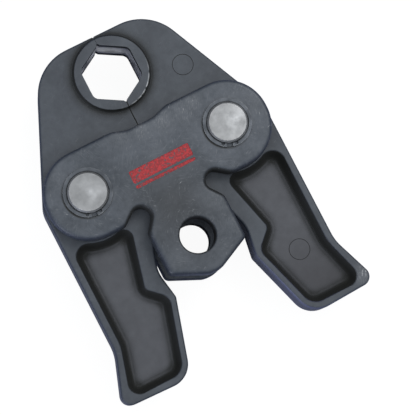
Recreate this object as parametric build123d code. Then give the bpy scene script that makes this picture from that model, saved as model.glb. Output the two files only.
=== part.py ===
from build123d import *
import math
import os

# Press fitting tool jaw: two forged arms swing on two pins between a pair of side plates.
# Millimetres. The origin is on the axis of the tool-pin bore, midway between the side plates.
# +X runs to the right arm, +Y to the die at the tip, and +Z out of the front plate.

# Thickness of the stack, from the middle outwards
arm_thickness = 15.8
side_gap = 0.2
plate_thickness = 8.4

# Pivot pins and the bores that they turn in
pivot_x = 30.7
pivot_y = 34.0
pin_diameter = 16.0
pin_bore_clearance = 0.03
pin_proud = 2.0
pin_end_chamfer = 0.6

# Retaining rings, each in a groove of its pin and a shallow seat of the plate
ring_thickness = 1.0
ring_seat_depth = 0.3
ring_seat_clearance = 0.1
ring_groove_depth = 0.4
ring_groove_play = 0.1
ring_inner_clearance = 0.02
ring_body_width = 2.15
ring_gap_width = 2.4
ring_relief_radius = 5.5
ring_relief_reach = 0.55
ring_relief_angle = 80.0
plier_hole_diameter = 1.4
plier_hole_offset = 0.7
plier_hole_angle = 18.0
right_front_ring_angle = -111.0
left_front_ring_angle = -100.0
right_rear_ring_angle = -84.0
left_rear_ring_angle = -68.0

# Side plates
tool_pin_bore_diameter = 14.2
lobe_radius = 17.3
lobe_foot_drop = 1.1
dip_half_width = 5.6
dip_depth = 2.1
dip_run = 6.4
dip_radius = 7.0
notch_radius = 3.8
notch_corner_radius = 3.6
notch_center_inset = 0.4
notch_center_rise = 0.6
notch_lean = 36.87
notch_mouth_radius = 5.0
tab_half_width = 16.7
tab_corner_y = -9.1
tab_corner_radius = 2.5
tab_end_half_width = 2.4
tab_end_y = -15.8
tab_end_radius = 8.0
plate_edge_round = 1.9
plate_inner_chamfer = 0.4
bore_rim_round = 1.0

# Two plain bars stamped in the front plate and filled with red paint
mark_length = 26.0
mark_drop = 2.6
mark_wide_bar_height = 5.2
mark_thin_bar_height = 1.3
mark_bar_gap = 0.95
mark_corner_radius = 0.6
mark_depth = 0.4

# Outline of an arm, seen from the front
split_gap = 0.3
split_tip_gap = 0.1
tip_margin = 1.5
shoulder_x = 24.8
shoulder_radius = 20.0
flank_margin = 0.8
knee_rise = 2.4
knee_radius = 12.0
kink_y = -26.0
kink_radius = 18.0
tail_outer_x = 56.5
tail_outer_y = -47.1
tail_outer_radius = 4.0
tail_inner_x = 27.1
tail_inner_y = -48.3
tail_inner_radius = 9.5
nose_x = 17.7
nose_y = -17.3
nose_radius = 3.0
hollow_x = 19.6
hollow_y = -5.5
hollow_radius = 13.0
throat_x = 17.2
throat_y = 2.2
throat_radius = 6.0
cavity_half_width = 10.6
cavity_floor_drop = 16.5
cavity_roof_drop = 6.0
cavity_peak_rise = 0.2
cavity_radius = 2.5
arm_edge_round = 1.0
split_chamfer = 0.5

# Die: a hexagonal bore with a groove round its middle, in a raised boss
die_center_y = 72.9
hex_across_flats = 21.6
hex_corner_radius = 3.0
boss_radius = 15.0
boss_height = 1.8
boss_edge_round = 0.4
boss_root_round = 1.3
boss_root_sink = 0.03
bead_groove_depth = 2.2
bead_groove_width = 7.9

# Pockets forged into both faces of each handle, each corner set off from the arm's own
pocket_depth = 5.0
pocket_draft = 24.0
pocket_floor_round = 2.2
pocket_rim_round = 0.6
pocket_plate_gap = 0.5
pocket_outer_hub_corner_radius = 5.2
pocket_inner_hub_corner_radius = 3.5
pocket_flank_inset = 2.8
pocket_kink_rise = 1.4
pocket_kink_radius = 12.0
pocket_tail_rise = 2.1
pocket_tail_outer_inset = 4.6
pocket_tail_outer_radius = 4.6
pocket_tail_inner_inset = 1.5
pocket_tail_inner_radius = 6.5
pocket_nose_inset = 2.2
pocket_nose_rise = 1.1
pocket_nose_radius = 5.0
pocket_waist_inset = 7.6
pocket_waist_drop = 3.7
pocket_waist_radius = 2.6
pocket_apex_offset = 1.0

# Round punch marks on one face of each arm: one on the head, one on the pocket floor
punch_mark_radius = 4.3
punch_mark_width = 0.25
punch_mark_depth = 0.1
head_mark_x = 27.0
head_mark_y = 63.5
pocket_mark_x = 35.2
pocket_mark_y = -22.8

# Spring between the arms, bent from one wire
spring_wire_diameter = 2.8
spring_center_drop = 7.7
spring_loop_radius = 4.0
spring_loop_end_angle = -40.0
spring_bend_radius = 2.6
spring_leg_heading = -55.0
spring_hook_radius = 2.4
spring_hook_depth = 3.0
spring_socket_clearance = 0.15
spring_socket_extra_depth = 0.5

# Sizes that follow from the ones above
arm_face_z = arm_thickness / 2
plate_inner_z = arm_face_z + side_gap
plate_outer_z = plate_inner_z + plate_thickness
pin_end_z = plate_outer_z + pin_proud
pin_radius = pin_diameter / 2
pin_bore_radius = pin_radius + pin_bore_clearance
ring_groove_radius = pin_radius - ring_groove_depth
ring_inner_radius = ring_groove_radius + ring_inner_clearance
ring_outer_radius = ring_inner_radius + ring_body_width
ring_seat_z = plate_outer_z - ring_seat_depth
ring_seat_radius = ring_outer_radius + ring_seat_clearance
ring_relief_center = pin_radius + ring_relief_reach - ring_relief_radius
plier_hole_center = pin_radius + plier_hole_offset
plate_foot_y = pivot_y - lobe_radius - lobe_foot_drop
notch_center_x = tab_half_width - notch_center_inset
notch_center_y = plate_foot_y + notch_center_rise
mark_wide_bar_y = pivot_y - mark_drop
mark_thin_bar_y = mark_wide_bar_y - mark_wide_bar_height / 2 - mark_bar_gap - mark_thin_bar_height / 2
split_x = split_gap / 2
split_tip_x = split_tip_gap / 2
tip_y = die_center_y + boss_radius + tip_margin
flank_x = pivot_x + lobe_radius + flank_margin
knee_y = pivot_y + knee_rise
cavity_floor_y = pivot_y - cavity_floor_drop
cavity_roof_y = pivot_y - cavity_roof_drop
cavity_peak_y = pivot_y + cavity_peak_rise
hex_vertex_radius = hex_across_flats / math.sqrt(3)
boss_face_z = arm_face_z + boss_height
past_split_x = boss_radius + boss_root_round + tip_margin
pocket_hub_radius = lobe_radius + lobe_foot_drop + pocket_plate_gap
pocket_outer_x = flank_x - pocket_flank_inset
pocket_tail_y = tail_outer_y + pocket_tail_rise
spring_center_y = cavity_peak_y - spring_center_drop


def rounded_face(corners):
    """A face whose outline turns at each corner, given as x, y and the radius of its round."""
    points = [(x, y) for x, y, radius in corners]
    radii = [radius for x, y, radius in corners]
    return make_face(FilletPolyline(*points, radius=radii, close=True))


def both_sides(corners):
    """The corners of the right half, followed by their mirror images on the left."""
    return corners + [(-x, y, radius) for x, y, radius in reversed(corners)]


def notch_corners():
    """The two corners whose rounds make the notch between a plate's lobe and its tab."""
    open_angle = 90 - notch_lean
    closed_angle = 180 + notch_lean
    middle_angle = (open_angle + closed_angle) / 2
    half_turn = math.radians((closed_angle - open_angle) / 4)
    reach = notch_radius / math.cos(half_turn)
    corners = []
    for side in (-1, 1):
        angle = math.radians(middle_angle) + side * half_turn
        x = notch_center_x + reach * math.cos(angle)
        y = notch_center_y + reach * math.sin(angle)
        corners.append((x, y, notch_corner_radius))
    return corners


def notch_mouths():
    """Where the notch's two straight flanks meet the lobe's foot and the tab's side."""
    lean = math.radians(notch_lean)
    foot_drop = notch_center_y - plate_foot_y
    foot_x = notch_center_x + (notch_radius + foot_drop * math.cos(lean)) / math.sin(lean)
    side_step = tab_half_width - notch_center_x
    tab_y = notch_center_y - (notch_radius + side_step * math.cos(lean)) / math.sin(lean)
    return (foot_x, plate_foot_y, notch_mouth_radius), (tab_half_width, tab_y, notch_mouth_radius)


def plate_outline():
    """Two lobes round the pivot pins, joined by a bar, with a tab for the tool pin."""
    top_y = pivot_y + lobe_radius
    far_x = pivot_x + lobe_radius
    foot, side = notch_mouths()
    right = [
        (dip_half_width, top_y - dip_depth, dip_radius),
        (dip_half_width + dip_run, top_y, dip_radius),
        (far_x, top_y, lobe_radius),
        (far_x, plate_foot_y, lobe_radius),
        foot,
        *notch_corners(),
        side,
        (tab_half_width, tab_corner_y, tab_corner_radius),
        (tab_end_half_width, tab_end_y, tab_end_radius),
    ]
    return rounded_face(both_sides(right))


def make_plate():
    """Side plate in its front position, flat inside and well rounded outside."""
    plate = Pos(0, 0, plate_inner_z) * extrude(plate_outline(), plate_thickness)
    outer_edges = plate.faces().sort_by(Axis.Z)[-1].edges()
    plate = fillet(outer_edges, plate_edge_round)
    inner_edges = plate.faces().sort_by(Axis.Z)[0].edges()
    plate = chamfer(inner_edges, plate_inner_chamfer)
    middle_z = (plate_inner_z + plate_outer_z) / 2
    plate -= Pos(0, 0, middle_z) * Cylinder(tool_pin_bore_diameter / 2, plate_thickness * 2)
    bore_rim = plate.faces().sort_by(Axis.Z)[-1].inner_wires()[0]
    plate = fillet(bore_rim.edges(), bore_rim_round)
    for side in (-1, 1):
        plate -= Pos(side * pivot_x, pivot_y, middle_z) * Cylinder(pin_bore_radius, plate_thickness * 2)
        seat = Cylinder(ring_seat_radius, ring_seat_depth * 2)
        plate -= Pos(side * pivot_x, pivot_y, plate_outer_z) * seat
    return plate


def make_front_plate():
    """The front plate carries two stamped bars, one wide and one thin."""
    wide_bar = RectangleRounded(mark_length, mark_wide_bar_height, mark_corner_radius)
    thin_bar = RectangleRounded(mark_length, mark_thin_bar_height, mark_corner_radius)
    bars = Pos(0, mark_wide_bar_y) * wide_bar + Pos(0, mark_thin_bar_y) * thin_bar
    return make_plate() - Pos(0, 0, plate_outer_z) * extrude(bars, -mark_depth)


def make_rear_plate():
    """The rear plate is the same forging turned over, with no marks."""
    return Rot(0, 180, 0) * make_plate()


def arm_blank():
    """The arm's outline in full thickness, running past the split, with its edges rounded."""
    outline = rounded_face(
        [
            (-past_split_x, tip_y, 0),
            (shoulder_x, tip_y, shoulder_radius),
            (flank_x, knee_y, knee_radius),
            (flank_x, kink_y, kink_radius),
            (tail_outer_x, tail_outer_y, tail_outer_radius),
            (tail_inner_x, tail_inner_y, tail_inner_radius),
            (nose_x, nose_y, nose_radius),
            (hollow_x, hollow_y, hollow_radius),
            (throat_x, throat_y, throat_radius),
            (cavity_half_width, cavity_floor_y, cavity_radius),
            (cavity_half_width, cavity_roof_y, cavity_radius),
            (split_x, cavity_peak_y, 0),
            (-past_split_x, cavity_peak_y, 0),
        ]
    )
    blank = extrude(outline, arm_face_z, both=True)
    faces = blank.faces().sort_by(Axis.Z)
    edges = faces[-1].edges() + faces[0].edges()
    return fillet(edges, arm_edge_round)


def die_boss():
    """Round boss about the die on both faces, its foot flaring into the arm and its rim rounded."""
    foot_radius = boss_radius + boss_root_round
    foot_z = arm_face_z - boss_root_sink
    rim_z = boss_face_z - boss_edge_round
    with BuildSketch(Plane.XZ) as profile:
        with BuildLine():
            Polyline((0, boss_face_z), (0, 0), (foot_radius, 0), (foot_radius, foot_z))
            RadiusArc((foot_radius, foot_z), (boss_radius, foot_z + boss_root_round), boss_root_round)
            Line((boss_radius, foot_z + boss_root_round), (boss_radius, rim_z))
            RadiusArc((boss_radius, rim_z), (boss_radius - boss_edge_round, boss_face_z), -boss_edge_round)
            Line((boss_radius - boss_edge_round, boss_face_z), (0, boss_face_z))
        make_face()
    half = revolve(profile.sketch, Axis.Z)
    return Pos(0, die_center_y) * (half + mirror(half, Plane.XY))


def split_cutter():
    """Everything left of the split, which narrows upwards and ends in a chamfer at the tip."""
    reach = past_split_x * 2
    outline = Polyline(
        (split_x, 0),
        (split_x, cavity_peak_y),
        (split_tip_x, tip_y - split_chamfer),
        (split_tip_x + split_chamfer * 2, tip_y + split_chamfer),
        (-reach, tip_y + split_chamfer),
        (-reach, 0),
        close=True,
    )
    return extrude(make_face(outline), arm_thickness, both=True)


def die_cutter():
    """The hexagonal bore, its corners on the split left sharp and opened by a chamfer."""
    vertices = [Vector(hex_vertex_radius, 0).rotate(Axis.Z, 30 + 60 * i) for i in range(6)]
    radii = [0 if abs(v.X) < 0.01 else hex_corner_radius for v in vertices]
    hexagon = rounded_face([(v.X, v.Y, radius) for v, radius in zip(vertices, radii)])
    lead = split_chamfer * 2
    diamond = Rot(0, 0, 45) * Rectangle(lead, lead)
    for side in (-1, 1):
        hexagon += Pos(0, side * (hex_vertex_radius - split_chamfer / 2)) * diamond
    bore = extrude(hexagon, arm_thickness, both=True)
    half_width = bead_groove_width / 2
    groove_radius = (half_width**2 + bead_groove_depth**2) / (2 * bead_groove_depth)
    groove_center = hex_across_flats / 2 + bead_groove_depth - groove_radius
    return Pos(0, die_center_y) * (bore + Torus(groove_center, groove_radius))


def pocket_cutter():
    """One forged pocket, its top kept clear of the round hub under the side plate."""
    rim = rounded_face(
        [
            (pocket_outer_x, pivot_y, 0),
            (pocket_outer_x, kink_y + pocket_kink_rise, pocket_kink_radius),
            (tail_outer_x - pocket_tail_outer_inset, pocket_tail_y, pocket_tail_outer_radius),
            (tail_inner_x + pocket_tail_inner_inset, pocket_tail_y, pocket_tail_inner_radius),
            (nose_x + pocket_nose_inset, nose_y + pocket_nose_rise, pocket_nose_radius),
            (hollow_x + pocket_waist_inset, hollow_y - pocket_waist_drop, pocket_waist_radius),
            (throat_x - pocket_apex_offset, pivot_y, 0),
        ]
    )
    rim -= Pos(pivot_x, pivot_y) * Circle(pocket_hub_radius)
    rim = rim.faces().sort_by(Axis.Y)[0]
    cusps = rim.vertices().sort_by(Axis.Y)[-2:].sort_by(Axis.X)
    for cusp, radius in zip(cusps, (pocket_inner_hub_corner_radius, pocket_outer_hub_corner_radius)):
        corner = rim.vertices().sort_by_distance(cusp)[0]
        rim = fillet(corner, radius)
    tool = extrude(Pos(0, 0, arm_face_z) * rim, -pocket_depth, taper=pocket_draft)
    floor = tool.faces().sort_by(Axis.Z)[0].edges()
    return fillet(floor, pocket_floor_round)


def round_pocket_rims(arm):
    """The arm with the rim of its pocket rounded on each of its two broad faces."""
    faces = arm.faces().filter_by(Plane.XY).sort_by(SortBy.AREA)[-2:]
    rims = [face.inner_wires().sort_by(SortBy.LENGTH)[-1] for face in faces]
    return fillet([edge for rim in rims for edge in rim.edges()], pocket_rim_round)


def spring_path():
    """Right half of the spring's centre line, from the top of its loop to the end of its hook."""
    start = (0, spring_center_y + spring_loop_radius)
    loop = JernArc(start, (1, 0), spring_loop_radius, -(90 - spring_loop_end_angle))
    loop_heading = spring_loop_end_angle - 90
    bend = JernArc(loop @ 1, loop % 1, spring_bend_radius, spring_leg_heading - loop_heading)
    corner = spring_hook_corner(bend @ 1)
    wall = cavity_wall_direction()
    hook_heading = math.degrees(math.atan2(wall.Y, wall.X)) - 90
    turn = hook_heading - spring_leg_heading
    setback = spring_hook_radius * math.tan(math.radians(turn / 2))
    leg_end = corner - (bend % 1) * setback
    leg = Line(bend @ 1, leg_end)
    hook = JernArc(leg @ 1, leg % 1, spring_hook_radius, turn)
    tail = Line(hook @ 1, spring_socket_mouth() + (hook % 1) * spring_hook_depth)
    return [loop, bend, leg, hook, tail]


def cavity_wall_direction():
    """Unit vector up the arm's inner wall, from the throat to the foot of the cavity."""
    return (Vector(cavity_half_width, cavity_floor_y) - Vector(throat_x, throat_y)).normalized()


def spring_socket_mouth():
    """Middle of the arm's inner wall, where the spring's hook goes in."""
    return (Vector(cavity_half_width, cavity_floor_y) + Vector(throat_x, throat_y)) * 0.5


def spring_hook_corner(leg_start):
    """Where the line of the leg crosses the axis of the socket."""
    wall = cavity_wall_direction()
    into = Vector(wall.Y, -wall.X)
    heading = math.radians(spring_leg_heading)
    along = Vector(math.cos(heading), math.sin(heading))
    offset = spring_socket_mouth() - leg_start
    travel = (offset.X * into.Y - offset.Y * into.X) / (along.X * into.Y - along.Y * into.X)
    return leg_start + along * travel


def spring_socket():
    """Blind hole in the right arm for the spring's hook."""
    wall = cavity_wall_direction()
    into = Vector(wall.Y, -wall.X)
    depth = spring_hook_depth + spring_socket_extra_depth
    section = Plane(spring_socket_mouth() - into, z_dir=into) * Circle(
        spring_wire_diameter / 2 + spring_socket_clearance
    )
    return extrude(section, depth + 1)


def punch_mark(x, y, face_z):
    """A fine ring-shaped groove in a face at that height."""
    ring = Circle(punch_mark_radius) - Circle(punch_mark_radius - punch_mark_width)
    return Pos(x, y, face_z) * extrude(ring, punch_mark_depth, both=True)


def make_right_arm():
    """Forged arm: half of the die at its head, a hub on the pivot pin, a pocketed handle."""
    arm = arm_blank() + die_boss() - split_cutter() - die_cutter()
    arm -= Pos(pivot_x, pivot_y) * Cylinder(pin_bore_radius, arm_thickness * 2)
    pocket = pocket_cutter()
    arm -= pocket
    arm -= mirror(pocket, Plane.XY)
    arm = round_pocket_rims(arm) - spring_socket()
    arm -= punch_mark(head_mark_x, head_mark_y, arm_face_z)
    return arm - punch_mark(pocket_mark_x, pocket_mark_y, arm_face_z - pocket_depth)


def make_left_arm():
    """The left arm is the same forging turned over about the Y axis."""
    return Rot(0, 180, 0) * make_right_arm()


def make_pin():
    """Pivot pin with a ring groove near each end."""
    pin = Cylinder(pin_radius, pin_end_z * 2)
    pin = chamfer(pin.edges().filter_by(GeomType.CIRCLE), pin_end_chamfer)
    groove_width = ring_thickness + ring_groove_play
    for side in (-1, 1):
        groove = Cylinder(pin_radius + 1, groove_width) - Cylinder(ring_groove_radius, groove_width)
        pin -= Pos(0, 0, side * (ring_seat_z + groove_width / 2)) * groove
    return pin


def make_ring(angle):
    """Flat retaining ring: a gap between two plier holes, and a relief on each flank."""
    ring = Circle(ring_outer_radius) - Circle(ring_inner_radius)
    ring -= Pos(ring_outer_radius, 0) * Rectangle(ring_outer_radius * 2, ring_gap_width)
    for side in (-1, 1):
        hole = Pos(plier_hole_center, 0) * Circle(plier_hole_diameter / 2)
        relief = Pos(ring_relief_center, 0) * Circle(ring_relief_radius)
        ring -= Rot(0, 0, side * plier_hole_angle) * hole
        ring -= Rot(0, 0, side * ring_relief_angle) * relief
    return Rot(0, 0, angle) * Pos(0, 0, ring_seat_z) * extrude(ring, ring_thickness)


def make_spring():
    """Wire spring: a loop under the split, two legs, and a hook in each arm."""
    path = Wire([piece.edge() for piece in spring_path()])
    section = Plane(path @ 0, z_dir=path % 0) * Circle(spring_wire_diameter / 2)
    half = sweep(section, path=path)
    return half + mirror(half, Plane.YZ)


def at_pivot(side, shape):
    """The shape moved onto the right pivot axis for side 1, the left one for side -1."""
    return Pos(side * pivot_x, pivot_y) * shape


def main():
    os.makedirs("parts", exist_ok=True)
    turn_over = Rot(0, 180, 0)
    parts = {
        "right_jaw_arm": make_right_arm(),
        "left_jaw_arm": make_left_arm(),
        "front_side_plate": make_front_plate(),
        "rear_side_plate": make_rear_plate(),
        "right_pivot_pin": at_pivot(1, make_pin()),
        "left_pivot_pin": at_pivot(-1, make_pin()),
        "right_front_retaining_ring": at_pivot(1, make_ring(right_front_ring_angle)),
        "left_front_retaining_ring": at_pivot(-1, make_ring(left_front_ring_angle)),
        "right_rear_retaining_ring": at_pivot(1, turn_over * make_ring(180 - right_rear_ring_angle)),
        "left_rear_retaining_ring": at_pivot(-1, turn_over * make_ring(180 - left_rear_ring_angle)),
        "jaw_spring": make_spring(),
    }
    for name, shape in parts.items():
        export_step(shape, f"parts/{name}.step")
        print(name, len(shape.solids()), round(shape.volume))


main()
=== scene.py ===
# %% [markdown]
# # Press fitting tool jaw
# A press jaw is a pair of forged steel arms between two side plates. The arms swing on pins, and
# a press tool pushes rollers in between their tails, so that the die at the tip closes on a pipe
# fitting. The solids come from CAD. This lesson dresses them: dark forged steel, bare pins, red
# paint in the stamped bars, and a wire spring that bends as the arms open.
#
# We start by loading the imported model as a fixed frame. Every node keeps its place, and all
# lengths are in metres.

# %% Load the CAD frame
import math
import bmesh
import bpy
from mathutils import Matrix, Vector


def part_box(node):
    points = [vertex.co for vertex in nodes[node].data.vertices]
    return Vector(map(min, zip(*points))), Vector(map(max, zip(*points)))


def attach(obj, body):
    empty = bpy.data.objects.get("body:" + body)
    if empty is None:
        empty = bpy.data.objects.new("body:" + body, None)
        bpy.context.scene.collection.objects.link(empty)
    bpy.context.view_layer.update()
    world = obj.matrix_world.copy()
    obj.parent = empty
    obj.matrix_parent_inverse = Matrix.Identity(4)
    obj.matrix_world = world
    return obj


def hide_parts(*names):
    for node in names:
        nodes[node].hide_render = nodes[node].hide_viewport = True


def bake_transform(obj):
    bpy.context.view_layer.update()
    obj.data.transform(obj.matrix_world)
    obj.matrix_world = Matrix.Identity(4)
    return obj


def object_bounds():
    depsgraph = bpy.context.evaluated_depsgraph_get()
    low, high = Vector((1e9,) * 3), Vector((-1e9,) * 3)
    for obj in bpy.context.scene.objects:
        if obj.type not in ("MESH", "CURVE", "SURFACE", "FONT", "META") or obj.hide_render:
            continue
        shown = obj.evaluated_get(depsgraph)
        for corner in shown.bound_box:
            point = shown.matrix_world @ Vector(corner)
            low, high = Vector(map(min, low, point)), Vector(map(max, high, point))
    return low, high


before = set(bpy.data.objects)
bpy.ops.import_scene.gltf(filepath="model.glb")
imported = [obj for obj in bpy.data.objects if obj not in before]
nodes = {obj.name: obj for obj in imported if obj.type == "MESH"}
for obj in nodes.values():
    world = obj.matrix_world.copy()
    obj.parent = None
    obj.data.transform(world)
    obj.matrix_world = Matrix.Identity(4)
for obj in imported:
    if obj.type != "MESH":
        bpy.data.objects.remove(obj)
cad_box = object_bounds()
MM = 0.001
for name, node in nodes.items():
    low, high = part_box(name)
    size = [round(side / MM, 1) for side in high - low]
    print(name, "mm", size, "faces", len(node.data.polygons))

# %% [markdown]
# ## Camera
# The photograph was taken with a long lens, almost straight down on the front plate, and the jaw
# leans to the left in the picture. Instead of three angles we write the camera's own axes: where
# its right and its up point in the jaw's frame. The third axis follows from those two, and the
# matrix made of the three turns the camera exactly.

# %% Place the camera
SENSOR_WIDTH, FOCAL_LENGTH = 36.0, 167.14
camera_place = Vector((-93.86, -38.70, 768.37)) * MM
camera_right = Vector((0.8834, -0.4593, 0.0929)).normalized()
camera_up = Vector((0.4486, 0.8862, 0.1157)).normalized()
camera_back = camera_right.cross(camera_up)
camera_up = camera_back.cross(camera_right)

camera_data = bpy.data.cameras.new("photo_camera")
camera_data.sensor_width = SENSOR_WIDTH
camera_data.lens = FOCAL_LENGTH
camera = bpy.data.objects.new("photo_camera", camera_data)
bpy.context.scene.collection.objects.link(camera)
axes = Matrix((camera_right, camera_up, camera_back)).transposed().to_4x4()
camera.matrix_world = Matrix.Translation(camera_place) @ axes
bpy.context.scene.camera = camera
bpy.context.scene.view_settings.view_transform = "Standard"
print("camera", [round(x, 3) for x in camera_place], "lens", camera_data.lens)

# %% [markdown]
# ## Helpers for node materials
# A material is a small graph. Short helpers keep the graphs readable: they make one node each,
# set or link its inputs and hand back its output. The last one starts a new material and hands
# back its tree and its Principled BSDF.


# %% Node helpers
def plug(tree, socket, value):
    """Link another node's output to the socket, or set the socket's own value."""
    if isinstance(value, bpy.types.NodeSocket):
        tree.links.new(value, socket)
    else:
        socket.default_value = value


def add_node(tree, kind, **inputs):
    node = tree.nodes.new(kind)
    for key, value in inputs.items():
        plug(tree, node.inputs[key.replace("_", " ")], value)
    return node


print("node helpers ready")


# %% Number and colour helpers
def math_node(tree, operation, first, second=None, clamp=False):
    node = tree.nodes.new("ShaderNodeMath")
    node.operation = operation
    node.use_clamp = clamp
    for socket, value in zip(node.inputs, (first, second)):
        if value is not None:
            plug(tree, socket, value)
    return node.outputs[0]


def times(tree, first, second, clamp=False):
    return math_node(tree, "MULTIPLY", first, second, clamp)


def shifted(tree, mask, change, base):
    """The base value where the mask is 0, changed by so much where it is 1."""
    result = math_node(tree, "MULTIPLY_ADD", mask, change)
    result.node.inputs[2].default_value = base
    return result


def strongest(tree, masks):
    best = masks[0]
    for mask in masks[1:]:
        best = math_node(tree, "MAXIMUM", best, mask)
    return best


def mix_color(tree, factor, first, second):
    node = tree.nodes.new("ShaderNodeMix")
    node.data_type = "RGBA"
    for index, value in ((0, factor), (6, first), (7, second)):
        plug(tree, node.inputs[index], value)
    return node.outputs[2]


print("number and colour helpers ready")


# %% Pattern and material helpers
def ramp(tree, value, low, high):
    """0 below low, 1 above high, straight between. With low above high it falls."""
    node = tree.nodes.new("ShaderNodeMapRange")
    for socket, number in zip(node.inputs, (value, low, high, 0.0, 1.0)):
        plug(tree, socket, number)
    return node.outputs[0]


def ramp_mm(tree, value, low, high):
    return ramp(tree, value, low * MM, high * MM)


def noise(tree, vector, scale, detail=2.0, roughness=0.5):
    node = add_node(
        tree, "ShaderNodeTexNoise", Vector=vector, Scale=scale, Detail=detail, Roughness=roughness
    )
    return node.outputs[0]


def vector_math(tree, operation, first, second):
    node = tree.nodes.new("ShaderNodeVectorMath")
    node.operation = operation
    plug(tree, node.inputs[0], first)
    plug(tree, node.inputs[1], second)
    return node.outputs


def split(tree, vector):
    node = tree.nodes.new("ShaderNodeSeparateXYZ")
    tree.links.new(vector, node.inputs[0])
    return node.outputs


def object_place(tree):
    return tree.nodes.new("ShaderNodeTexCoord").outputs["Object"]


def new_material(name):
    material = bpy.data.materials.new(name)
    material.use_nodes = True
    tree = material.node_tree
    return material, tree, tree.nodes["Principled BSDF"]


print("pattern and material helpers ready")

# %% [markdown]
# ## Floor and light
# The photograph shows the jaw on plain white, with soft light from above. The walls of the
# pockets and the sides of the arms stay dark, so little light comes in low. A dome that is
# bright overhead and dim at the horizon gives just that. One softbox at the upper right gives
# the shadows their direction, a low bluish one at the left lights the walls that face us, and
# a small lamp at the right keeps the ends from going black. The floor shows white to the camera
# and keeps a faint shadow, but it throws only a little bluish light back up. It lies a hair
# below the pins' ends, so that no two faces share a plane.

# %% Floor
FLOOR_GAP = 0.05 * MM
FLOOR_SIZE = 12.0
FLOOR_GLOW = 0.94
WHITE = (1.0, 1.0, 1.0, 1.0)
SHADOW_GREY = (0.12, 0.12, 0.12, 1.0)
BOUNCED_BLUE = (0.40, 0.44, 0.62, 1.0)
floor_z = cad_box[0].z - FLOOR_GAP
bpy.ops.object.select_all(action="DESELECT")
bpy.ops.mesh.primitive_plane_add(size=FLOOR_SIZE, location=(0, 0, floor_z))
floor = bpy.context.object
floor.name = "studio_floor"
floor_material = bpy.data.materials.new("studio_white")
floor_material.use_nodes = True
tree = floor_material.node_tree
tree.nodes.clear()
rays = tree.nodes.new("ShaderNodeLightPath").outputs
seen = math_node(tree, "MAXIMUM", rays["Is Camera Ray"], rays["Is Transmission Ray"])
white_face = add_node(tree, "ShaderNodeBsdfDiffuse", Color=SHADOW_GREY)
white_glow = add_node(tree, "ShaderNodeEmission", Color=WHITE, Strength=FLOOR_GLOW)
shown = tree.nodes.new("ShaderNodeAddShader")
plug(tree, shown.inputs[0], white_face.outputs[0])
plug(tree, shown.inputs[1], white_glow.outputs[0])
bounced = add_node(tree, "ShaderNodeBsdfDiffuse", Color=BOUNCED_BLUE)
choice = tree.nodes.new("ShaderNodeMixShader")
for socket, value in zip(choice.inputs, (seen, bounced.outputs[0], shown.outputs[0])):
    plug(tree, socket, value)
floor_out = tree.nodes.new("ShaderNodeOutputMaterial")
plug(tree, floor_out.inputs["Surface"], choice.outputs[0])
floor.data.materials.append(floor_material)
print("floor at z mm", round(floor_z / MM, 2))

# %% Sky dome
HORIZON = (0.045, 0.050, 0.068, 1.0)
ZENITH = (0.92, 0.95, 0.99, 1.0)
SKY_STRENGTH = 1.18
DIM_BELOW, SKY_CURVE = 0.05, 2.0
world = bpy.data.worlds.new("studio_sky")
bpy.context.scene.world = world
world.use_nodes = True
tree = world.node_tree
sky_way = tree.nodes.new("ShaderNodeTexCoord").outputs["Generated"]
rise = ramp(tree, split(tree, sky_way)[2], DIM_BELOW, 1.0)
overhead = math_node(tree, "POWER", rise, SKY_CURVE)
sky = mix_color(tree, overhead, HORIZON, ZENITH)
backdrop = tree.nodes["Background"].inputs
plug(tree, backdrop["Color"], sky)
plug(tree, backdrop["Strength"], SKY_STRENGTH)
print("sky dome nodes", len(tree.nodes))


# %% Softboxes
def soft_light(name, place, target, size, watts, color):
    data = bpy.data.lights.new(name, "AREA")
    data.shape = "DISK"
    data.size = size
    data.energy = watts
    data.color = color
    light = bpy.data.objects.new(name, data)
    light.location = place
    aim = Vector(target) - Vector(place)
    light.rotation_euler = aim.to_track_quat("-Z", "Y").to_euler()
    bpy.context.scene.collection.objects.link(light)
    print(name, "at", place, "size", size, "watts", watts)


JAW_MIDDLE = (0.0, 0.02, 0.0)
NEARLY_WHITE = (1.0, 0.99, 0.98)
COOL = (0.80, 0.85, 1.0)
WARM = (1.0, 0.99, 0.97)
soft_light("upper_right_softbox", (0.62, 0.30, 1.05), JAW_MIDDLE, 0.60, 4.0, NEARLY_WHITE)
soft_light("low_left_softbox", (-1.00, -0.40, 0.12), JAW_MIDDLE, 0.50, 6.0, COOL)
soft_light("right_lamp", (0.55, -0.80, 0.45), JAW_MIDDLE, 0.30, 0.5, WARM)

# %% [markdown]
# ## The red paint
# The plate carries two stamped bars, a wide one and a thin one below it, and red paint has been
# wiped into them. The paint is its own thin body that fills the lower half of each bar. It could
# be a flat patch, but paint creeps up the walls of a stamping, so we start from a block, round
# its four upright corners and let its face dip in the middle.


# %% Modelling helpers
def deselect_all():
    if bpy.context.object and bpy.context.object.mode != "OBJECT":
        bpy.ops.object.mode_set(mode="OBJECT")
    bpy.ops.object.select_all(action="DESELECT")


def pick_faces(piece, test):
    mesh = bmesh.from_edit_mesh(piece.data)
    for face in mesh.faces:
        face.select_set(test(face))
    bmesh.update_edit_mesh(piece.data)


def pick_edges(piece, test):
    mesh = bmesh.from_edit_mesh(piece.data)
    for face in mesh.faces:
        face.select_set(False)
    for edge in mesh.edges:
        edge.select_set(test(edge))
    bmesh.update_edit_mesh(piece.data)


def settle(piece):
    """Put the piece's place into its mesh and leave it unselected."""
    bpy.ops.object.mode_set(mode="OBJECT")
    bpy.ops.object.transform_apply(location=True, rotation=True, scale=True)
    piece.select_set(False)
    print(piece.name, "faces", len(piece.data.polygons))


print("modelling helpers ready")

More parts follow.
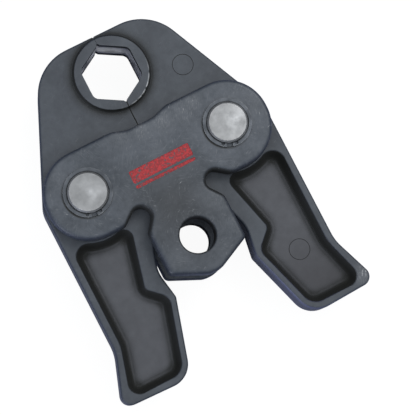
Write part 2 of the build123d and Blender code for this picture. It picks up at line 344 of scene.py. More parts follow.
# %% Paint in the stamped bars
MARK_LENGTH = 26.0 * MM
MARK_FLOOR = 16.1 * MM
PAINT_DEPTH = 0.22 * MM
PAINT_GAP = 0.02 * MM
CORNER = 0.58 * MM
CORNER_STEPS = 5
PAINT_LIP = 0.25 * MM
PAINT_DIP = 0.10 * MM
WIDE_BAR_Y, WIDE_BAR_HEIGHT = 31.4 * MM, 5.2 * MM
THIN_BAR_Y, THIN_BAR_HEIGHT = 27.2 * MM, 1.3 * MM


def upright(edge):
    return abs((edge.verts[0].co - edge.verts[1].co).z) > PAINT_DEPTH / 2


def paint_bar(name, middle_y, height):
    deselect_all()
    bpy.ops.mesh.primitive_cube_add(size=1.0, location=(0, middle_y, MARK_FLOOR + PAINT_DEPTH / 2))
    bar = bpy.context.object
    bar.name = name
    bar.scale = (MARK_LENGTH - 2 * PAINT_GAP, height - 2 * PAINT_GAP, PAINT_DEPTH)
    bpy.ops.object.transform_apply(location=False, rotation=False, scale=True)
    bpy.ops.object.mode_set(mode="EDIT")
    bpy.ops.mesh.select_mode(type="EDGE")
    pick_edges(bar, upright)
    bpy.ops.mesh.bevel(offset=CORNER, segments=CORNER_STEPS, affect="EDGES")
    bpy.ops.mesh.select_mode(type="FACE")
    pick_faces(bar, lambda face: face.normal.z > 0.9)
    bpy.ops.mesh.inset(thickness=PAINT_LIP)
    bpy.ops.transform.translate(value=(0, 0, -PAINT_DIP))
    settle(bar)
    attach(bar, "side_plates")
    return bar


wide_paint = paint_bar("wide_bar_paint", WIDE_BAR_Y, WIDE_BAR_HEIGHT)
thin_paint = paint_bar("thin_bar_paint", THIN_BAR_Y, THIN_BAR_HEIGHT)

# %% [markdown]
# ## The spring
# One piece of round wire pushes the tails apart, so the jaw closes by itself. Its loop lies
# between the arms and each end hooks into a socket in one arm. The CAD solid can't bend. We hide
# it and model the wire again, in two halves that meet at the middle of the loop.
#
# A circle of wire is spun round the centre of each bend and pushed along the straight leg, just
# as wire goes round the pins of a bending jig.

# %% Bends of the wire
WIRE, WIRE_SIDES = 1.4 * MM, 20
LOOP_STEPS, BEND_STEPS, LEG_STEPS = 20, 10, 6
LOOP_CENTER, LOOP_RADIUS, LOOP_TURN = Vector((0.0, 26.5)) * MM, 4.0 * MM, 130.0
NECK_CENTER, NECK_TURN = Vector((5.056, 22.258)) * MM, 75.0
LEG = Vector((7.296, -10.419)) * MM
HOOK_CENTER, HOOK_TURN = Vector((12.188, 11.725)) * MM, 78.3
TAIL = Vector((3.517, 1.517)) * MM


def bend(center, degrees, side, steps):
    place = (side * center.x, center.y, 0.0)
    angle = side * math.radians(degrees)
    bpy.ops.mesh.spin(steps=steps, angle=angle, center=place, axis=(0, 0, 1))


def push(step, side):
    way = (side * step.x, step.y, 0.0)
    bpy.ops.mesh.extrude_region_move(TRANSFORM_OT_translate={"value": way})


print("bends in degrees", LOOP_TURN, NECK_TURN, HOOK_TURN)

# %% Wire spring
WELD = 0.001 * MM
SMOOTH_ANGLE = math.radians(40)


def spring_half(name, side):
    deselect_all()
    top = (0.0, LOOP_CENTER.y + LOOP_RADIUS, 0.0)
    quarter = math.radians(90)
    bpy.ops.mesh.primitive_circle_add(
        vertices=WIRE_SIDES, radius=WIRE, fill_type="NGON", location=top,
        rotation=(0, quarter, 0),
    )
    wire = bpy.context.object
    wire.name = name
    bpy.ops.object.transform_apply(location=True, rotation=True, scale=True)
    bpy.ops.object.mode_set(mode="EDIT")
    bpy.ops.mesh.select_all(action="SELECT")
    bend(LOOP_CENTER, -LOOP_TURN, side, LOOP_STEPS)
    bend(NECK_CENTER, NECK_TURN, side, BEND_STEPS)
    for _ in range(LEG_STEPS):
        push(LEG / LEG_STEPS, side)
    bend(HOOK_CENTER, HOOK_TURN, side, BEND_STEPS)
    push(TAIL, side)
    bpy.ops.mesh.select_all(action="SELECT")
    bpy.ops.mesh.remove_doubles(threshold=WELD)
    bpy.ops.mesh.normals_make_consistent(inside=False)
    settle(wire)
    wire.select_set(True)
    bpy.ops.object.shade_smooth_by_angle(angle=SMOOTH_ANGLE)
    wire.select_set(False)
    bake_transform(wire)
    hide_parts("jaw_spring")
    low = [round(min(v.co[i] for v in wire.data.vertices) / MM, 2) for i in range(3)]
    high = [round(max(v.co[i] for v in wire.data.vertices) / MM, 2) for i in range(3)]
    print(name, low, high)
    return wire


right_wire = spring_half("spring_half_right", 1)
left_wire = spring_half("spring_half_left", -1)

# %% [markdown]
# ## Shared finishes
# Several steels show the same effects: bare metal where an edge has rubbed, soft clouds where the
# forging scaled, and fine scratches. Each effect is a node group, built once, and every material
# sets its own values on it. All patterns read Object coordinates, so they stay fixed to the steel
# when an arm swings.
#
# Edge wear compares the true normal with one that has been rounded off by a small radius. Where
# the two differ, there is an edge. A noise breaks the line up, as real rubbing does.

# %% Group helpers
NUMBER, POINT = "NodeSocketFloat", "NodeSocketVector"


def new_group(name, inputs, outputs):
    """Inputs are (label, kind, value) rows; every output is a number."""
    group = bpy.data.node_groups.new(name, "ShaderNodeTree")
    for label, kind, value in inputs:
        socket = group.interface.new_socket(label, in_out="INPUT", socket_type=kind)
        if value is not None:
            socket.default_value = value
    for label in outputs:
        group.interface.new_socket(label, in_out="OUTPUT", socket_type=NUMBER)
    entry = group.nodes.new("NodeGroupInput").outputs
    result = group.nodes.new("NodeGroupOutput").inputs
    return group, entry, result


def place_group(tree, group, **inputs):
    node = tree.nodes.new("ShaderNodeGroup")
    node.node_tree = group
    for key, value in inputs.items():
        plug(tree, node.inputs[key.replace("_", " ")], value)
    return node.outputs


print("group helpers ready")

# %% Edge wear group
WEAR_SAMPLES = 4
WEAR_NOISE = 420.0
EDGE_RANGE, BROKEN_RANGE = (0.01, 0.12), (0.40, 0.70)
edge_wear, entry, result = new_group(
    "edge_wear",
    [("Radius", NUMBER, 0.0006), ("Amount", NUMBER, 0.5), ("Position", POINT, None)],
    ["Mask"],
)
rounded = add_node(edge_wear, "ShaderNodeBevel", Radius=entry["Radius"])
rounded.samples = WEAR_SAMPLES
true_normal = edge_wear.nodes.new("ShaderNodeNewGeometry").outputs["Normal"]
likeness = vector_math(edge_wear, "DOT_PRODUCT", rounded.outputs[0], true_normal)["Value"]
edge = ramp(edge_wear, math_node(edge_wear, "SUBTRACT", 1.0, likeness), *EDGE_RANGE)
broken = noise(edge_wear, entry["Position"], WEAR_NOISE, detail=4.0, roughness=0.6)
worn = times(edge_wear, edge, ramp(edge_wear, broken, *BROKEN_RANGE))
plug(edge_wear, result["Mask"], times(edge_wear, worn, entry["Amount"], clamp=True))
print("edge_wear sockets", [item.name for item in edge_wear.interface.items_tree])

# %% [markdown]
# The opposite of an edge is a hollow. Shade falls on the pockets' walls and at the foot of the
# boss, and it is painted there in black. An ambient occlusion node that looks only at its own
# piece finds these places, so the mask doesn't change when an arm swings. A wall is told from a
# floor by its normal: all the joints turn about Z, so a wall stays a wall.

# %% Hollow group
HOLLOW_SAMPLES = 12
WALL_REACH = 2.6
STEEP_RANGE, LEANING_RANGE, WALLED_RANGE = (0.96, 0.70), (0.985, 0.88), (0.995, 0.94)


def openness(tree, distance):
    node = add_node(tree, "ShaderNodeAmbientOcclusion", Distance=distance)
    node.samples = HOLLOW_SAMPLES
    node.only_local = True
    return node.outputs["AO"]


hollows, entry, result = new_group(
    "hollows",
    [("Reach", NUMBER, 0.0045), ("Open", NUMBER, 0.97), ("Closed", NUMBER, 0.78)],
    ["Mask", "Steep"],
)
near_open = openness(hollows, entry["Reach"])
far_open = openness(hollows, times(hollows, entry["Reach"], WALL_REACH))
normal = hollows.nodes.new("ShaderNodeNewGeometry").outputs["Normal"]
flatness = math_node(hollows, "ABSOLUTE", split(hollows, normal)[2])
corner = ramp(hollows, near_open, entry["Open"], entry["Closed"])
leaning = ramp(hollows, flatness, *LEANING_RANGE)
wall = times(hollows, leaning, ramp(hollows, far_open, *WALLED_RANGE))
plug(hollows, result["Mask"], strongest(hollows, [corner, wall]))
plug(hollows, result["Steep"], ramp(hollows, flatness, *STEEP_RANGE))
print("hollows nodes", len(hollows.nodes))

# %% [markdown]
# Forged steel is never one grey. Scale and phosphate leave soft clouds about a centimetre across,
# and the skin is slightly pitted at a tenth of a millimetre. The group gives the cloud as a mask
# and both as a height for the bump.

# %% Forging skin group
CLOUD_BUMP = 0.6
CLOUD_RANGE = (0.35, 0.68)
forging_skin, entry, result = new_group(
    "forging_skin",
    [("Position", POINT, None), ("Cloud Size", NUMBER, 0.012), ("Grain Size", NUMBER, 0.0004)],
    ["Cloud", "Height"],
)
cloud_scale = math_node(forging_skin, "DIVIDE", 1.0, entry["Cloud Size"])
grain_scale = math_node(forging_skin, "DIVIDE", 1.0, entry["Grain Size"])
cloud = noise(forging_skin, entry["Position"], cloud_scale, detail=5.0, roughness=0.55)
grain = noise(forging_skin, entry["Position"], grain_scale, roughness=0.6)
skin = math_node(forging_skin, "ADD", times(forging_skin, cloud, CLOUD_BUMP), grain)
plug(forging_skin, result["Cloud"], ramp(forging_skin, cloud, *CLOUD_RANGE))
plug(forging_skin, result["Height"], skin)
print("forging_skin nodes", len(forging_skin.nodes))

# %% [markdown]
# A scratch is a thin bright line. We turn the coordinates, squeeze them hard along one direction
# and read a noise there: its peaks become long thin streaks. A second, broad noise lets the
# streaks show only in patches. With a shorter length and a larger width the same group gives
# nicks.

# %% Scratch group
STREAK_RANGE, PATCH_RANGE = (0.60, 0.78), (0.45, 0.65)


def turn(tree, place, angle):
    return add_node(tree, "ShaderNodeVectorRotate", Vector=place, Angle=angle).outputs[0]


def squeeze(tree, place, length, width):
    """Divide X by a length and Y by a width, so that a noise read there makes streaks."""
    parts = split(tree, place)
    squeezed = tree.nodes.new("ShaderNodeCombineXYZ")
    for axis, size in enumerate((length, width)):
        plug(tree, squeezed.inputs[axis], math_node(tree, "DIVIDE", parts[axis], size))
    return squeezed.outputs[0]


scratches, entry, result = new_group(
    "scratches",
    [
        ("Position", POINT, None),
        ("Angle", NUMBER, 0.0),
        ("Length", NUMBER, 0.010),
        ("Width", NUMBER, 0.0003),
        ("Patch Size", NUMBER, 0.020),
        ("Amount", NUMBER, 0.5),
    ],
    ["Mask"],
)
turned = turn(scratches, entry["Position"], entry["Angle"])
streak_place = squeeze(scratches, turned, entry["Length"], entry["Width"])
streak = ramp(scratches, noise(scratches, streak_place, 1.0, roughness=0.7), *STREAK_RANGE)
patch_scale = math_node(scratches, "DIVIDE", 1.0, entry["Patch Size"])
patch = ramp(scratches, noise(scratches, turned, patch_scale), *PATCH_RANGE)
shown_streak = times(scratches, streak, patch)
plug(scratches, result["Mask"], times(scratches, shown_streak, entry["Amount"], clamp=True))
print("scratches nodes", len(scratches.nodes))

# %% [markdown]
# A rub is a spot where the jaw has been knocked or dragged. Inside a soft ball round one point
# the steel looks a little lighter, and small bright strokes show through, drawn out along one
# direction. The ball alone is useful too: it says how near a point is to the spot.

# %% Rubbed spot group
STROKE_SHARE, BALL_SHARE = 0.75, 0.25
BALL_RANGE, STROKE_RANGE = (1.0, 0.1), (0.50, 0.68)
rubbed_spot, entry, result = new_group(
    "rubbed_spot",
    [
        ("Position", POINT, None),
        ("Center", POINT, None),
        ("Size", NUMBER, 0.004),
        ("Angle", NUMBER, 0.0),
        ("Stroke Width", NUMBER, 0.0003),
        ("Stroke Length", NUMBER, 0.0016),
    ],
    ["Mask", "Near"],
)
gap = vector_math(rubbed_spot, "DISTANCE", entry["Position"], entry["Center"])["Value"]
in_sizes = math_node(rubbed_spot, "DIVIDE", gap, entry["Size"])
nearness = ramp(rubbed_spot, in_sizes, *BALL_RANGE)
turned = turn(rubbed_spot, entry["Position"], entry["Angle"])
stroke_place = squeeze(rubbed_spot, turned, entry["Stroke Length"], entry["Stroke Width"])
strokes = noise(rubbed_spot, stroke_place, 1.0, detail=3.0, roughness=0.6)
strokes = ramp(rubbed_spot, strokes, *STROKE_RANGE)
spread = math_node(rubbed_spot, "ADD", times(rubbed_spot, strokes, STROKE_SHARE), BALL_SHARE)
plug(rubbed_spot, result["Mask"], times(rubbed_spot, nearness, spread, clamp=True))
plug(rubbed_spot, result["Near"], nearness)
print("rubbed_spot nodes", len(rubbed_spot.nodes))

# %% [markdown]
# Places on the jaw are given in millimetres in its own frame. Three small helpers turn them into
# masks: nearness to a spot, distance from an upright axis, and distance from a circle round such
# an axis. The last helper gives a finish its bump.


# %% Place helpers
def near_spot(tree, place, x, y, z, size):
    spot = Vector((x, y, z)) * MM
    return place_group(tree, rubbed_spot, Position=place, Center=spot, Size=size * MM)["Near"]


def axis_distance(tree, place, x, y):
    """How far a point is from an upright axis, in metres."""
    flat = vector_math(tree, "MULTIPLY", place, (1, 1, 0))["Vector"]
    return vector_math(tree, "DISTANCE", flat, Vector((x, y, 0)) * MM)["Value"]


def off_circle(tree, distance, radius):
    """How far a distance from an axis is off a radius, in metres."""
    return math_node(tree, "ABSOLUTE", math_node(tree, "SUBTRACT", distance, radius * MM))


def add_bump(tree, shader, height, strength, depth):
    bump = add_node(tree, "ShaderNodeBump", Strength=strength, Distance=depth, Height=height)
    plug(tree, shader.inputs["Normal"], bump.outputs[0])


print("place helpers ready")

# %% [markdown]
# ## Dark forged steel
# Arms and plates share one recipe with different values. The base is a dark blue-grey that turns
# lighter in the clouds, and the forging's sides get a painted navy shade. Scratches, short nicks,
# rubs and worn edges show lighter steel and turn a little metallic, and the hollows get painted
# black shade and turn dull. The brightest marks are polished, and a few broad places are darker.
# The plates are bluer and more scratched, because the tool's fork slides on them.

# %% Light marks
SCRATCH_ANGLES = (0.35, 1.15, 2.2)
NICK_ANGLES = (0.7, 1.9, 2.7)
NICK = {"Length": 0.0036, "Width": 0.0007, "Patch_Size": 0.009}
STROKE = {"Stroke_Width": 0.00045, "Stroke_Length": 0.0014}


def rub_mask(tree, place, x, y, z, size, angle, strength):
    spot = Vector((x, y, z)) * MM
    rub = place_group(
        tree, rubbed_spot, Position=place, Center=spot, Size=size * MM, Angle=angle, **STROKE
    )
    return times(tree, rub["Mask"], strength)


def light_marks(tree, place, wear, scratch, nicks, rubs):
    masks = [place_group(tree, edge_wear, Position=place, Amount=wear)]
    for angle in SCRATCH_ANGLES:
        masks.append(place_group(tree, scratches, Position=place, Angle=angle, Amount=scratch))
    for angle in NICK_ANGLES:
        masks.append(
            place_group(tree, scratches, Position=place, Angle=angle, Amount=nicks, **NICK)
        )
    rubbed = [rub_mask(tree, place, *rub) for rub in rubs]
    return strongest(tree, [mask["Mask"] for mask in masks] + rubbed)


print("scratch angles", SCRATCH_ANGLES, "nick angles", NICK_ANGLES)

# %% Forged steel recipe
# Near-black for painted shade in hollows and gaps, and for the dark joint between the arms.
SHADE_AND_JOINT_BLACK = (0.011, 0.012, 0.0105, 1.0)
SIDE_SHADE_NAVY = (0.019, 0.025, 0.039, 1.0)
RUBBED_GREY = (0.24, 0.25, 0.26, 1.0)
# Polished steel, also used for the painted highlight arc on the boss.
POLISH_AND_HIGHLIGHT = (0.55, 0.56, 0.57, 1.0)
FINER, FINE_GRAIN = 6, 0.3 * MM
BROAD_SHARE, FINE_SHARE = 0.65, 0.35
SIDE_SHADE_SHARE, HOLLOW_SHADE_SHARE, METAL_SHARE = 0.8, 0.94, 0.5
CLOUD_SHEEN, HOLLOW_DULLNESS = -0.08, 0.3
POLISHED_RANGE = (0.62, 0.95)


def forged_steel(name, shades, cloud_size, scratch, nicks, wear, rubs, dark_spots, roughness):
    """Shades run from dark to light; a rub is a place and size in mm, an angle, a strength."""
    material, tree, shader = new_material(name)
    place = object_place(tree)
    skin = place_group(tree, forging_skin, Position=place, Cloud_Size=cloud_size)
    fine = place_group(
        tree, forging_skin, Position=place, Cloud_Size=cloud_size / FINER, Grain_Size=FINE_GRAIN
    )
    broad = times(tree, skin["Cloud"], BROAD_SHARE)
    clouds = math_node(tree, "ADD", broad, times(tree, fine["Cloud"], FINE_SHARE))
    hollow = place_group(tree, hollows)
    color = mix_color(tree, clouds, shades[0], shades[1])
    # The steep sides get a painted navy shade.
    color = mix_color(tree, times(tree, hollow["Steep"], SIDE_SHADE_SHARE), color, SIDE_SHADE_NAVY)
    # A few broad places are made darker.
    for *spot, strength in dark_spots:
        darkening = times(tree, near_spot(tree, place, *spot), strength)
        color = mix_color(tree, darkening, color, SHADE_AND_JOINT_BLACK)
    marks = light_marks(tree, place, wear, scratch, nicks, rubs)
    # The hollows mask paints shade: black in the pockets and at the foot of the boss.
    hollow_shade = hollow["Mask"]
    color = mix_color(tree, marks, color, RUBBED_GREY)
    color = mix_color(tree, ramp(tree, marks, *POLISHED_RANGE), color, POLISH_AND_HIGHLIGHT)
    color = mix_color(tree, times(tree, hollow_shade, HOLLOW_SHADE_SHARE), color, SHADE_AND_JOINT_BLACK)
    rough = shifted(tree, clouds, CLOUD_SHEEN, roughness)
    rough = math_node(tree, "ADD", rough, times(tree, hollow_shade, HOLLOW_DULLNESS))
    plug(tree, shader.inputs["Base Color"], color)
    plug(tree, shader.inputs["Metallic"], times(tree, marks, METAL_SHARE))
    plug(tree, shader.inputs["Roughness"], rough)
    add_bump(tree, shader, skin["Height"], strength=0.25, depth=0.05 * MM)
    print(name, "nodes", len(tree.nodes))
    return material


print("forged steel recipe ready")

# %% Arms and plates
PLATE_FACE = 16.5
ALONG_PICTURE = -1.1
arm_steel = forged_steel(
    "arm_forged_steel",
    shades=((0.047, 0.055, 0.067, 1.0), (0.075, 0.088, 0.104, 1.0)),
    cloud_size=0.016,
    scratch=0.08,
    nicks=0.25,
    wear=0.30,
    rubs=[(52.5, -43.0, 7.9, 5.5, ALONG_PICTURE, 1.0)],
    dark_spots=[],
    roughness=0.56,
)
plate_rubs = [
    (-9.2, 48.5, PLATE_FACE, 7.0, ALONG_PICTURE, 0.55),
    (-0.8, 47.0, PLATE_FACE, 6.0, ALONG_PICTURE, 0.75),
    (8.0, 46.0, PLATE_FACE, 7.0, ALONG_PICTURE, 0.75),
    (17.2, 45.5, PLATE_FACE, 7.0, ALONG_PICTURE, 0.55),
    (22.3, 47.5, PLATE_FACE, 5.0, ALONG_PICTURE, 0.75),
    (13.3, 8.5, PLATE_FACE, 7.0, 2.2, 0.40),
    (14.9, -2.0, PLATE_FACE, 6.0, 2.2, 0.35),
    (-11.0, -5.9, PLATE_FACE, 5.0, 0.5, 0.35),
    (7.0, -9.0, PLATE_FACE, 5.0, 0.5, 0.30),
    (45.1, 36.3, PLATE_FACE, 6.0, 2.0, 0.30),
    (-38.1, 43.2, PLATE_FACE, 6.0, 0.7, 0.30),
]
plate_steel = forged_steel(
    "plate_forged_steel",
    shades=((0.045, 0.056, 0.070, 1.0), (0.104, 0.119, 0.140, 1.0)),
    cloud_size=0.011,
    scratch=0.50,
    nicks=0.95,
    wear=0.30,
    rubs=plate_rubs,
    dark_spots=[(-3.0, 16.0, PLATE_FACE, 24.0, 0.55), (-2.0, -6.0, PLATE_FACE, 22.0, 0.20)],
    roughness=0.52,
)

# %% [markdown]
# The arms differ from place to place. The floors of the pockets are painted a lighter, greyer
# tone, as painted light, and turn darker towards the right tail. The inner side of the right
# handle gets a painted bluish light. In the die the walls of the bore are painted dark as shade,
# and the groove between them gets a painted reflection of light steel, with one painted highlight
# streak. A thin arc on the rim of the boss is a painted highlight, and the line where the two
# arms meet below the die is dark. Each place is first found as a mask, by height, by nearness or
# by distance from the die's axis. A pair of lengths in millimetres says where a mask is 0 and
# where it is 1; four numbers are a spot and the size of its ball.

# %% Masks on the arms
DIE_Y, ARC_RADIUS = 72.9, 14.8
FLOOR_LEVEL, HANDLE_REACH, FLOOR_SHARE = (6.5, 5.0), (50, 60), 0.75
BORE_REACH, GROOVE_LEVEL = (13.7, 13.4), (6.4, 5.4)
PARTING_HALF, PARTING_TOP = (0.36, 0.14), (72.0, 66.0)
ARC_HALF, BOSS_LEVEL = (0.35, 0.15), (9.2, 9.4)
ARC_NOISE, ARC_RANGE = 500.0, (0.35, 0.55)
BLUE_LIGHT_SPOT, ARC_HIGHLIGHT_SPOT = (23.0, -36.0, 0.0, 30.0), (9.2, 61.0, 9.7, 13.0)
tree = arm_steel.node_tree
place = object_place(tree)
along = split(tree, place)
level = math_node(tree, "ABSOLUTE", along[2])
from_axis = axis_distance(tree, place, 0.0, DIE_Y)
hollow = place_group(tree, hollows)

low_down = ramp_mm(tree, level, *FLOOR_LEVEL)
low_down = times(tree, low_down, ramp_mm(tree, from_axis, *HANDLE_REACH))
clear = math_node(tree, "SUBTRACT", FLOOR_SHARE, hollow["Mask"], clamp=True)
lit_floor = times(tree, low_down, clear)
# The bore's walls are painted dark as shade, and its groove gets a painted reflection.
shaded_bore = times(tree, hollow["Steep"], ramp_mm(tree, from_axis, *BORE_REACH))
lit_groove = times(tree, shaded_bore, ramp_mm(tree, level, *GROOVE_LEVEL))
# Painted bluish light on the inner side of the right handle.
blue_lit = times(tree, hollow["Steep"], near_spot(tree, place, *BLUE_LIGHT_SPOT))
in_middle = ramp_mm(tree, math_node(tree, "ABSOLUTE", along[0]), *PARTING_HALF)
parting = times(tree, in_middle, ramp_mm(tree, along[1], *PARTING_TOP))
# A painted highlight arc on the rim of the boss.
on_circle = ramp_mm(tree, off_circle(tree, from_axis, ARC_RADIUS), *ARC_HALF)
arc_highlight = times(tree, on_circle, ramp_mm(tree, level, *BOSS_LEVEL))
arc_highlight = times(tree, arc_highlight, near_spot(tree, place, *ARC_HIGHLIGHT_SPOT))
arc_highlight = times(tree, arc_highlight, ramp(tree, noise(tree, place, ARC_NOISE, detail=3.0), *ARC_RANGE))
print("arm masks made, nodes", len(tree.nodes))

# %% [markdown]
# Then the layers go over the arm's finish one by one, in the order in which they cover each
# other.

# %% Layers on the arms
GROOVE_REFLECTION_GREYS = (0.24, 0.25, 0.29, 1.0), (0.70, 0.71, 0.76, 1.0)
LIT_FLOOR_GREYS = (0.076, 0.078, 0.088, 1.0), (0.092, 0.094, 0.106, 1.0)
FLOOR_DARKER = (0.030, 0.027, 0.031, 1.0)
PAINTED_BLUE_LIGHT = (0.10, 0.11, 0.20, 1.0)
HIGHLIGHT_STREAK_SPOT, TAIL_SPOT = (2.6, 84.8, 1.0, 10.0), (41.0, -45.0, 2.9, 34.0)
LINE_SIZE = 4.0 * MM
lines = place_group(tree, forging_skin, Position=place, Cloud_Size=LINE_SIZE)["Cloud"]
# Painted reflection in the groove, with one painted highlight streak.
groove_reflection = mix_color(tree, lines, *GROOVE_REFLECTION_GREYS)
groove_reflection = mix_color(tree, near_spot(tree, place, *HIGHLIGHT_STREAK_SPOT), groove_reflection, WHITE)
# Painted light: the pocket floors are lighter than the faces, and darker towards the right tail.
floor_painted_light = mix_color(tree, lines, *LIT_FLOOR_GREYS)
floor_painted_light = mix_color(tree, near_spot(tree, place, *TAIL_SPOT), floor_painted_light, FLOOR_DARKER)
base = tree.nodes["Principled BSDF"].inputs["Base Color"]
finish = base.links[0].from_socket
for mask, layer in (
    (blue_lit, PAINTED_BLUE_LIGHT),
    (parting, SHADE_AND_JOINT_BLACK),
    (hollow["Mask"], SHADE_AND_JOINT_BLACK),
    (lit_floor, floor_painted_light),
    (shaded_bore, SHADE_AND_JOINT_BLACK),
    (lit_groove, groove_reflection),
    (arc_highlight, POLISH_AND_HIGHLIGHT),
):
    finish = mix_color(tree, mask, finish, layer)
plug(tree, base, finish)
print("arm steel nodes", len(tree.nodes))

# %% [markdown]
# ## Bare pins, rings and spring wire
# The pins' ends are ground and left bare, so they are metallic and much brighter. Handling
# leaves dull smudges on them, and a few patches are polished. The retaining rings are dark
# spring steel.

# %% Bare steel recipe
SMUDGE_GRAIN = 0.2 * MM
BARE_WEAR_RADIUS = 0.4 * MM
WORN_BRIGHT = (0.75, 0.76, 0.76, 1.0)
SMUDGE_SHEEN = -0.10


def bare_steel(name, dull, bright, roughness, wear, smudge_size, patches=()):
    material, tree, shader = new_material(name)
    place = object_place(tree)
    smudge = place_group(
        tree, forging_skin, Position=place, Cloud_Size=smudge_size, Grain_Size=SMUDGE_GRAIN
    )
    color = mix_color(tree, smudge["Cloud"], dull, bright)
    for *spot, strength in patches:
        patch = times(tree, near_spot(tree, place, *spot), strength)
        color = mix_color(tree, times(tree, patch, smudge["Cloud"]), color, POLISH_AND_HIGHLIGHT)
    worn = place_group(
        tree, edge_wear, Position=place, Amount=wear, Radius=BARE_WEAR_RADIUS
    )["Mask"]
    color = mix_color(tree, worn, color, WORN_BRIGHT)
    plug(tree, shader.inputs["Base Color"], color)
    shader.inputs["Metallic"].default_value = 1.0
    rough = shifted(tree, smudge["Cloud"], SMUDGE_SHEEN, roughness)
    plug(tree, shader.inputs["Roughness"], rough)
    add_bump(tree, shader, smudge["Height"], strength=0.15, depth=0.03 * MM)
    print(name, "nodes", len(tree.nodes))
    return material


print("bare steel recipe ready")

# %% Pin, ring and wire steel
PIN_FACE = 18.5
pin_steel = bare_steel(
    "pin_ground_steel",
    dull=(0.255, 0.26, 0.262, 1),
    bright=(0.335, 0.34, 0.343, 1),
    roughness=0.48,
    wear=0.6,
    smudge_size=0.005,
    patches=[
        (34.0, 33.5, PIN_FACE, 6.0, 0.8),
        (-28.5, 31.5, PIN_FACE, 3.0, 0.6),
        (-30.0, 34.0, PIN_FACE, 2.0, 0.8),
    ],
)
ring_steel = bare_steel(
    "ring_spring_steel",
    dull=(0.08, 0.088, 0.098, 1),
    bright=(0.12, 0.13, 0.145, 1),
    roughness=0.52,
    wear=0.3,
    smudge_size=0.004,
)
wire_steel = bare_steel(
    "spring_wire_steel",
    dull=(0.16, 0.16, 0.16, 1),
    bright=(0.24, 0.24, 0.24, 1),
    roughness=0.42,
    wear=0.1,
    smudge_size=0.003,
)

# %% [markdown]
# Shade falls where a retaining ring sits: in the narrow gap between the ring and its seat,
# mostly on one side, and where the ring meets the pin. That shade is painted on in black. Both
# are circles round the pin's axis, so the distance from the nearer axis is all that the mask
# needs. The pins' chamfers were turned, not ground, so the same distance makes them duller than
# the ends.

# %% Painted shade helpers
PIN_X, PIN_Y = 30.7, 34.0
SHADE_LEFT, SHADE_DOWN, SHADE_SIZE = 9.0, 4.0, 15.0


def pin_distance(tree, place):
    right = axis_distance(tree, place, PIN_X, PIN_Y)
    left = axis_distance(tree, place, -PIN_X, PIN_Y)
    return math_node(tree, "MINIMUM", right, left)


def shaded_side(tree, place, pin_x):
    x, y = pin_x - SHADE_LEFT, PIN_Y - SHADE_DOWN
    return near_spot(tree, place, x, y, PLATE_FACE, SHADE_SIZE)


def darken(material, mask):
    tree = material.node_tree
    color = tree.nodes["Principled BSDF"].inputs["Base Color"]
    old = color.links[0].from_socket
    plug(tree, color, mix_color(tree, mask, old, SHADE_AND_JOINT_BLACK))
    print(material.name, "nodes", len(tree.nodes))


print("pin axes in mm", (PIN_X, PIN_Y), (-PIN_X, PIN_Y))

# %% Painted shade round the pins
SEAT_RADIUS = 10.1
SEAT_HALF, RING_EDGE, CHAMFER_REACH = (0.50, 0.25), (8.75, 8.3), (7.3, 7.5)
RING_SHADE, CHAMFER_DULLNESS = 0.75, 0.35
tree = plate_steel.node_tree
place = object_place(tree)
# Painted shade in the gap round each ring seat, mostly on one side.
from_seat = off_circle(tree, pin_distance(tree, place), SEAT_RADIUS)
seat_shade = ramp_mm(tree, from_seat, *SEAT_HALF)
sides = [shaded_side(tree, place, pin_x) for pin_x in (PIN_X, -PIN_X)]
darken(plate_steel, times(tree, seat_shade, strongest(tree, sides)))

# Painted shade at the ring's inner edge, beside the pin.
tree = ring_steel.node_tree
inner_edge = ramp_mm(tree, pin_distance(tree, object_place(tree)), *RING_EDGE)
darken(ring_steel, times(tree, inner_edge, RING_SHADE))

tree = pin_steel.node_tree
chamfer = ramp_mm(tree, pin_distance(tree, object_place(tree)), *CHAMFER_REACH)
roughness = tree.nodes["Principled BSDF"].inputs["Roughness"]
ground = roughness.links[0].from_socket
turned_steel = times(tree, chamfer, CHAMFER_DULLNESS)
plug(tree, roughness, math_node(tree, "ADD", ground, turned_steel))
print("pin steel nodes", len(tree.nodes))

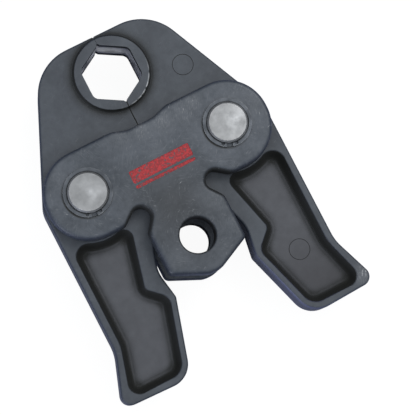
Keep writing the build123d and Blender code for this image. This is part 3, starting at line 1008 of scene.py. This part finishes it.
# %% [markdown]
# ## Red paint
# The paint is old. It has turned dull, and where it has come away the steel of the stamping
# shows. Two noises of different size decide where: flakes of a millimetre or two, and fine
# crumbs at their edges. The same mask makes the bare spots a little smoother.

# %% Worn red paint
FLAKES, CRUMBS, STAINS = 900.0, 5200.0, 1500.0
FLAKE_SHARE, CRUMB_SHARE = 0.8, 0.2
BARE_RANGE, FRESH_RANGE = (0.55, 0.61), (0.40, 0.62)
PAINT_ROUGHNESS, BARE_SHEEN = 0.60, -0.10
PAINT_REDS = (0.30, 0.022, 0.026, 1.0), (0.56, 0.030, 0.036, 1.0)
BARE_STAMPING = (0.085, 0.080, 0.090, 1.0)
red_paint, tree, shader = new_material("worn_red_paint")
place = object_place(tree)
flakes = times(tree, noise(tree, place, FLAKES, detail=3.0, roughness=0.6), FLAKE_SHARE)
crumbs = times(tree, noise(tree, place, CRUMBS), CRUMB_SHARE)
bare = ramp(tree, math_node(tree, "ADD", flakes, crumbs), *BARE_RANGE)
fresh = ramp(tree, noise(tree, place, STAINS), *FRESH_RANGE)
red = mix_color(tree, fresh, *PAINT_REDS)
plug(tree, shader.inputs["Base Color"], mix_color(tree, bare, red, BARE_STAMPING))
plug(tree, shader.inputs["Roughness"], shifted(tree, bare, BARE_SHEEN, PAINT_ROUGHNESS))
paint_height = math_node(tree, "SUBTRACT", 1.0, bare)
add_bump(tree, shader, paint_height, strength=0.4, depth=0.08 * MM)
print("red paint nodes", len(tree.nodes))

# %% [markdown]
# ## Dress every piece
# The last word of a node's name says what it is, so it also says which steel it gets.

# %% Dress every piece
FINISHES = {
    "arm": arm_steel,
    "plate": plate_steel,
    "pin": pin_steel,
    "ring": ring_steel,
    "spring": wire_steel,
}


def dress(piece, material):
    piece.data.materials.clear()
    piece.data.materials.append(material)
    print(piece.name, "->", material.name)


dress(wide_paint, red_paint)
dress(thin_paint, red_paint)
dress(right_wire, wire_steel)
dress(left_wire, wire_steel)
for name, node in nodes.items():
    dress(node, FINISHES[name.split("_")[-1]])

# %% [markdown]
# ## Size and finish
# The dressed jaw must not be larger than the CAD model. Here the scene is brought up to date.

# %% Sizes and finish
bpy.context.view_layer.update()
